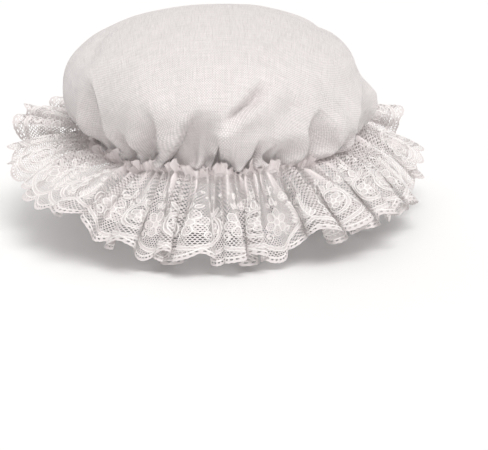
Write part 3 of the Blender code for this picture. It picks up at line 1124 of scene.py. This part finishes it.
def pierced_tree():
    """Tree that opens a round hole in each cell of a flat net, as large as the cell's hole attribute."""
    tree, start = tree_with("Pierced Net", {"Hole Scale": 1.0})
    place = add_node(tree, "GeometryNodeInputPosition")["Position"]
    capture = tree.nodes.new("GeometryNodeCaptureAttribute")
    capture.domain = "FACE"
    capture.capture_items.new("VECTOR", "Middle")
    tree.links.new(start["Geometry"], capture.inputs["Geometry"])
    tree.links.new(place, capture.inputs["Middle"])
    cells, middle = capture.outputs["Geometry"], capture.outputs["Middle"]
    sockets = {"Name": "hole"}
    hole = add_node(tree, "GeometryNodeInputNamedAttribute", sockets, data_type="FLOAT")["Attribute"]
    sockets = {"A": hole, "B": 0.00005}
    comparison = {"data_type": "FLOAT", "operation": "GREATER_THAN"}
    is_open = add_node(tree, "FunctionNodeCompare", sockets, **comparison)["Result"]
    sockets = {"Mesh": cells, "Selection": is_open, "Offset Scale": 0.0, "Individual": True}
    inset = add_node(tree, "GeometryNodeExtrudeMesh", sockets, mode="FACES")
    way = vector_maths(tree, "NORMALIZE", vector_maths(tree, "SUBTRACT", place, middle))
    radius = maths(tree, "MULTIPLY", hole, start["Hole Scale"])
    rim = vector_maths(tree, "ADD", middle, scaled(tree, way, radius))
    sockets = {"Geometry": inset["Mesh"], "Selection": inset["Top"], "Position": rim}
    rounded = add_node(tree, "GeometryNodeSetPosition", sockets)["Geometry"]
    sockets = {"Geometry": rounded, "Selection": inset["Top"]}
    pierced = add_node(tree, "GeometryNodeDeleteGeometry", sockets, domain="FACE")["Geometry"]
    return finish_tree(tree, pierced, start["Material"])


def thread_tree():
    """Tree that lays a thread along every line of a mesh: a four-sided bead, half sunk in the net."""
    tree, start = tree_with("Raised Thread", {"Width": 0.0007, "Height": 0.00045})
    line = add_node(tree, "GeometryNodeMeshToCurve", {"Mesh": start["Geometry"]})["Curve"]
    upright = add_node(tree, "GeometryNodeSetCurveNormal", {"Curve": line}, mode="Z_UP")["Curve"]
    sockets = {"Resolution": 4, "Radius": 1.0}
    circle = add_node(tree, "GeometryNodeCurvePrimitiveCircle", sockets, mode="RADIUS")["Curve"]
    half_width = maths(tree, "MULTIPLY", start["Width"], 0.5)
    sockets = {"X": half_width, "Y": start["Height"], "Z": 1.0}
    size = add_node(tree, "ShaderNodeCombineXYZ", sockets)["Vector"]
    section = add_node(tree, "GeometryNodeTransform", {"Geometry": circle, "Scale": size})["Geometry"]
    sockets = {"Curve": upright, "Profile Curve": section, "Fill Caps": True}
    thread = add_node(tree, "GeometryNodeCurveToMesh", sockets)["Mesh"]
    return finish_tree(tree, thread, start["Material"])


def stitch_tree():
    """Tree that sets a stitch on every point of a flat line, each a long grain of thread."""
    tree, start = tree_with("Stitches", {"Length": 0.0060, "Thickness": 0.0006})
    sockets = {"Segments": 6, "Rings": 7, "Radius": 0.5}
    grain = add_node(tree, "GeometryNodeMeshUVSphere", sockets)["Mesh"]
    sockets = {"Geometry": grain, "Rotation": (0, math.pi / 2, 0)}
    lying = add_node(tree, "GeometryNodeTransform", sockets)["Geometry"]
    sockets = {"X": start["Length"], "Y": start["Thickness"], "Z": start["Thickness"]}
    size = add_node(tree, "ShaderNodeCombineXYZ", sockets)["Vector"]
    sockets = {"Points": start["Geometry"], "Instance": lying, "Scale": size}
    stitches = add_node(tree, "GeometryNodeInstanceOnPoints", sockets)["Instances"]
    return finish_tree(tree, stitches, start["Material"])


def worked(name, base, tree, values):
    """Plain mesh that a tree makes from a base mesh with these input values."""
    thing = new_object(name, base)
    modifier = thing.modifiers.new("work", "NODES")
    modifier.node_group = tree
    for item in tree.interface.items_tree:
        if item.in_out == "INPUT" and item.name in values:
            modifier[item.identifier] = values[item.name]
    bpy.context.view_layer.update()
    evaluated = thing.evaluated_get(bpy.context.evaluated_depsgraph_get())
    mesh = bpy.data.meshes.new_from_object(evaluated)
    thing.modifiers.remove(modifier)
    bpy.data.objects.remove(thing)
    bpy.data.meshes.remove(base)
    if not len(mesh.polygons):
        raise RuntimeError(f"{name}: the tree made nothing")
    mesh.name = name
    return mesh


def cloth_places(tree):
    """Flat places of the cloth."""
    return add_node(tree, "ShaderNodeUVMap", uv_map="Cloth")["UV"]


def noise_at(tree, place, scale, detail=2.0, roughness=0.5):
    """Noise value, from place times a scale along each axis."""
    moved = vector_maths(tree, "MULTIPLY", place, scale)
    sockets = {"Vector": moved, "Scale": 1.0, "Detail": detail, "Roughness": roughness}
    return add_node(tree, "ShaderNodeTexNoise", sockets)["Fac"]


def new_finish(name, sockets):
    """New material with these values on its shader, and its tree."""
    finish = bpy.data.materials.new(name)
    finish.use_nodes = True
    for socket, value in sockets.items():
        finish.node_tree.nodes["Principled BSDF"].inputs[socket].default_value = value
    return finish, finish.node_tree


def surface(tree, base, tone, relief, strength, depth):
    """Gives the shader a colour that is lighter or darker by tone, and a relief of this depth."""
    shader = tree.nodes["Principled BSDF"]
    tree.links.new(scaled(tree, base, tone), shader.inputs["Base Color"])
    sockets = {"Height": relief, "Strength": strength, "Distance": depth}
    tree.links.new(add_node(tree, "ShaderNodeBump", sockets)["Normal"], shader.inputs["Normal"])


def linen_finish(base, thread):
    """Plain-woven linen: uneven threads both ways, in relief and in colour, on the flat cloth's places. Its
    colour holds the slubs' own tone and painted shade that follows the weave's relief.
    """
    sockets = {"Roughness": 0.88, "Sheen Weight": 0.25, "Sheen Roughness": 0.5, "Specular IOR Level": 0.25}
    finish, tree = new_finish("linen weave", sockets)
    place = cloth_places(tree)
    threads = 1 / thread
    # Thick and thin single threads, and soft lumps that bend their lines
    warp = noise_at(tree, place, (1.2 * threads, 60, 1), 1.0)
    weft = noise_at(tree, place, (60, 1.2 * threads, 1), 1.0)
    lumps = noise_at(tree, place, (0.30 * threads, 0.30 * threads, 1))
    apart = add_node(tree, "ShaderNodeSeparateXYZ", {"Vector": place})
    wander = maths(tree, "MULTIPLY", maths(tree, "SUBTRACT", lumps, 0.5), 1.2)
    x, y = (
        maths(tree, "SINE", maths(tree, "MULTIPLY_ADD", apart[axis], math.pi * threads, wander))
        for axis in ("X", "Y")
    )
    # Threads over and under each other, and the rib of each thread
    over = maths(tree, "MULTIPLY", x, y)
    ribs = maths(tree, "ADD", maths(tree, "ABSOLUTE", x), maths(tree, "ABSOLUTE", y))
    slubs = maths(tree, "ADD", warp, weft)
    relief = maths(tree, "MULTIPLY_ADD", ribs, 0.35, maths(tree, "MULTIPLY", over, 0.30))
    relief = maths(tree, "MULTIPLY_ADD", slubs, 1.5, relief)
    # Tone: the slubs are the threads' own tone; the over-and-under and rib terms are painted shade, lighter
    # where a thread stands up and darker between threads
    tone = maths(tree, "MULTIPLY_ADD", maths(tree, "SUBTRACT", slubs, 1.0), 0.26, 1.0)
    tone = maths(tree, "MULTIPLY_ADD", over, 0.18, tone)
    tone = maths(tree, "MULTIPLY_ADD", maths(tree, "SUBTRACT", ribs, 1.27), 0.10, tone)
    surface(tree, base, tone, relief, 0.85, 0.00035)
    return finish


def thread_finish(name, base):
    """Fine spun thread, slightly uneven in tone, with painted light: lighter on the gathers' crests, where
    the net is doubled up, and over the frill, which lies in the crown's shade.
    """
    grain, spread, roughness, painted_crest_light = THREADS[name]
    sockets = {"Roughness": roughness, "Sheen Weight": 0.2, "Specular IOR Level": 0.3}
    finish, tree = new_finish(name, sockets)
    fleck = noise_at(tree, cloth_places(tree), (1 / grain, 1 / grain, 1), 3.0, 0.6)
    tone = maths(tree, "MULTIPLY_ADD", maths(tree, "SUBTRACT", fleck, 0.5), spread, 1.0)
    if painted_crest_light:
        # Painted light: the crest mask lightens the thread along gather crests and over the frill, which the
        # crown shades
        crest = add_node(tree, "ShaderNodeAttribute", attribute_name="crest")["Fac"]
        tone = maths(tree, "MULTIPLY_ADD", crest, painted_crest_light, tone)
    surface(tree, base, tone, fleck, 0.4, 0.0002)
    return finish


def panels(lace):
    """The strip's four lengths, as first and last scallop."""
    quarter = lace.scallops // 4
    names = ("back_left", "front_left", "front_right", "back_right")
    return [(name, number * quarter, (number + 1) * quarter) for number, name in enumerate(names)]


class MOBCAP_OT_crown(bpy.types.Operator):
    """Make the puffed linen crown with its folds and gathers"""

    bl_idname = "mobcap.crown"
    bl_label = "Linen Crown"

    def execute(self, context):
        s = context.scene.mob_cap_sizes
        columns = s.crown_columns
        points, flat, rows = crown_points(s, columns)
        grid = np.arange(rows * columns).reshape(rows, columns)
        last = grid[-1].tolist()
        top = len(points)
        faces = ring_faces(grid) + [(last[n], last[(n + 1) % columns], top) for n in range(columns)]
        peak = points[last].mean(axis=0)
        mesh = mesh_from("linen_puff", np.vstack((points, (0.0, 0.0, peak[2]))), faces)
        lay_flat(mesh, np.vstack((flat, (0.0, 0.0))))
        finish = linen_finish(context.scene.mob_cap_colours.linen, s.linen_thread)
        crown = new_object("linen_puff", mesh, finish)
        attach(crown, "root")
        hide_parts("linen_crown")
        return {"FINISHED"}


class MOBCAP_OT_lace(bpy.types.Operator):
    """Make the lengths of pierced and scalloped lace, and gather them"""

    bl_idname = "mobcap.lace"
    bl_label = "Lace Ruffle"

    def execute(self, context):
        s = context.scene.mob_cap_sizes
        lace = context.scene.mob_cap_lace
        finish = thread_finish("lace cotton", context.scene.mob_cap_colours.lace)
        tree = pierced_tree()
        for side, first, last in panels(lace):
            width = lace.scallop_width
            points, faces, holes = net_cells(lace, first * width, last * width)
            edge_points, edge_faces, edge_holes = eyelet_cells(lace, first, last)
            faces += [tuple(len(points) + number for number in face) for face in edge_faces]
            base = mesh_from("flat net", np.vstack((points, edge_points)), faces)
            holes = np.concatenate((holes, edge_holes)).astype(np.float32)
            base.attributes.new("hole", "FLOAT", "FACE").data.foreach_set("value", holes)
            name = f"lace_{side}"
            mesh = worked(name, base, tree, {"Hole Scale": 1.0, "Material": finish})
            gather_mesh(s, lace, mesh)
            strip = new_object(name, mesh, finish)
            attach(strip, "root")
            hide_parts("lace_ruffle")
        return {"FINISHED"}


class MOBCAP_OT_outline(bpy.types.Operator):
    """Lay the raised thread round the flowers, leaves, scrolls and scallops of the lace"""

    bl_idname = "mobcap.outline"
    bl_label = "Raised Outlines"

    def execute(self, context):
        s = context.scene.mob_cap_sizes
        lace = context.scene.mob_cap_lace
        finish = thread_finish("outline cotton", context.scene.mob_cap_colours.outline)
        tree = thread_tree()
        for side, first, last in panels(lace):
            name = f"outline_{side}"
            base = wire("outline wire", outline_wires(lace, first, last))
            values = {"Width": lace.outline_width, "Height": OUTLINE_HEIGHT, "Material": finish}
            mesh = worked(name, base, tree, values)
            gather_mesh(s, lace, mesh)
            thread = new_object(name, mesh, finish)
            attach(thread, "root")
        return {"FINISHED"}


class MOBCAP_OT_casing(bpy.types.Operator):
    """Make the ruched casing of the elastic inside the opening"""

    bl_idname = "mobcap.casing"
    bl_label = "Elastic Casing"

    def execute(self, context):
        s = context.scene.mob_cap_sizes
        half = s.casing_height / 2
        wall = s.casing_wall
        turn = np.arange(CASING_COLUMNS) * TAU / CASING_COLUMNS
        ruche = np.cos(RUCHES * turn + ripple(turn, "ruches"))
        tilt = np.sin(RUCHES / 2 * turn + ripple(turn, "tape edge"))
        rings = []
        # Ruches are deepest in the middle of the tape, and its edges wander a little
        for out, up in CASING_OUTLINE:
            squeeze = 0.25 + 0.75 * (1 - abs(up))
            offset = out * wall * TAPE_THICKNESS + wall * TAPE_INSET + RUCHE_DEPTH * ruche * squeeze
            ring = round_opening(s, turn, offset)[0]
            ring[:, 2] = CASING_MIDDLE + up * half * (0.97 + 0.03 * tilt)
            rings.append(ring)
        points = np.vstack(rings)
        grid = np.arange(len(points)).reshape(len(rings), CASING_COLUMNS)
        around = np.vstack((grid, grid[:1]))
        faces = [(face[0], face[3], face[2], face[1]) for face in ring_faces(around)]
        mesh = mesh_from("elastic_casing", points, faces)
        lay_flat(mesh, np.stack((np.tile(turn * MEAN_RADIUS, len(rings)), points[:, 2]), axis=1))
        finish = thread_finish("casing cotton", context.scene.mob_cap_colours.casing)
        casing = new_object("elastic_casing", mesh, finish)
        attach(casing, "root")
        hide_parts("gathering_band")
        return {"FINISHED"}


class MOBCAP_OT_stitches(bpy.types.Operator):
    """Sew the gathers down with a row of running stitches"""

    bl_idname = "mobcap.stitches"
    bl_label = "Gather Stitches"

    def execute(self, context):
        s = context.scene.mob_cap_sizes
        lace = context.scene.mob_cap_lace
        finish = thread_finish("sewing thread", context.scene.mob_cap_colours.outline)
        length = lace.scallops * lace.scallop_width
        along = (np.arange(STITCHES) + 0.5) * length / STITCHES
        base = mesh_from("stitch places", [(x, STITCH_BELOW, STITCH_LIFT) for x in along], ())
        long = length / STITCHES * STITCH_SHARE
        values = {"Length": long, "Thickness": STITCH_THICKNESS, "Material": finish}
        mesh = worked("gather_stitches", base, stitch_tree(), values)
        gather_mesh(s, lace, mesh)
        row = new_object("gather_stitches", mesh, finish)
        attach(row, "root")
        return {"FINISHED"}


class MOBCAP_OT_stage(bpy.types.Operator):
    """Set the floor, the lights and the camera"""

    bl_idname = "mobcap.stage"
    bl_label = "Stage"

    def execute(self, context):
        scene = context.scene
        stage = scene.mob_cap_stage
        sockets = {"Base Color": (*scene.mob_cap_colours.floor, 1), "Roughness": 0.9}
        finish, _ = new_finish("pale floor", sockets)
        corners = ((-1, -1), (1, -1), (1, 1), (-1, 1))
        points = [(x * FLOOR_HALF, y * FLOOR_HALF, stage.floor_height) for x, y in corners]
        floor = new_object("floor", mesh_from("floor", points, [(0, 1, 2, 3)]), finish)
        world = bpy.data.worlds.new("studio")
        scene.world = world
        world.use_nodes = True
        sky = world.node_tree.nodes["Background"]
        sky.inputs["Color"].default_value = SKY_COLOUR
        sky.inputs["Strength"].default_value = SKY_STRENGTH
        for name, place, power, softness, glow in LIGHTS:
            light = bpy.data.lights.new(name, "SUN")
            light.angle = math.radians(softness)
            light.energy = power
            light.color = glow
            lamp = new_object(name, light)
            lamp.rotation_euler = Vector(place).to_track_quat("Z", "Y").to_euler()
        scene.camera = self.camera(stage)
        scene.view_settings.view_transform = "Standard"
        return {"FINISHED"}

    def camera(self, stage):
        """Camera behind the cap, at the photograph's angle."""
        back = Vector((0, math.cos(stage.camera_height), math.sin(stage.camera_height)))
        level = Vector((-1, 0, 0))
        upright = back.cross(level)
        roll = stage.camera_roll
        right = level * math.cos(roll) + upright * math.sin(roll)
        up = upright * math.cos(roll) - level * math.sin(roll)
        lens = bpy.data.cameras.new("camera")
        lens.lens = stage.lens
        lens.sensor_width = SENSOR_WIDTH
        eye = new_object("camera", lens)
        place = back * stage.camera_distance
        ahead = (right * AIM_RIGHT - up * AIM_DOWN - place).normalized()
        right = ahead.cross(up).normalized()
        turned = Matrix((right, right.cross(ahead), -ahead)).transposed()
        eye.matrix_world = Matrix.Translation(place) @ turned.to_4x4()
        return eye


SETTINGS = {
    "mob_cap_sizes": CapSizes,
    "mob_cap_lace": LaceSizes,
    "mob_cap_colours": CapColours,
    "mob_cap_stage": StageSizes,
}

OPERATORS = (
    MOBCAP_OT_crown,
    MOBCAP_OT_lace,
    MOBCAP_OT_outline,
    MOBCAP_OT_casing,
    MOBCAP_OT_stitches,
    MOBCAP_OT_stage,
)


class MOBCAP_PT_panel(bpy.types.Panel):
    """Pieces of the mob cap"""

    bl_label = "Mob Cap"
    bl_space_type = "VIEW_3D"
    bl_region_type = "UI"
    bl_category = "Mob Cap"

    def draw(self, context):
        for setting, group in SETTINGS.items():
            box = self.layout.box()
            for name in group.__annotations__:
                box.prop(getattr(context.scene, setting), name)
        for operator in OPERATORS:
            self.layout.operator(operator.bl_idname)


CLASSES = (*SETTINGS.values(), *OPERATORS, MOBCAP_PT_panel)


def register():
    """Registers the classes and the scene's settings."""
    for item in CLASSES:
        bpy.utils.register_class(item)
    for setting, group in SETTINGS.items():
        setattr(bpy.types.Scene, setting, PointerProperty(type=group))


def unregister():
    """Removes the settings and the classes."""
    for setting in SETTINGS:
        delattr(bpy.types.Scene, setting)
    for item in reversed(CLASSES):
        bpy.utils.unregister_class(item)


def main():
    """Makes the whole cap and its stage."""
    register()
    bpy.ops.mobcap.crown()
    bpy.ops.mobcap.lace()
    bpy.ops.mobcap.outline()
    bpy.ops.mobcap.casing()
    bpy.ops.mobcap.stitches()
    bpy.ops.mobcap.stage()


if __name__ == "__main__":
    main()
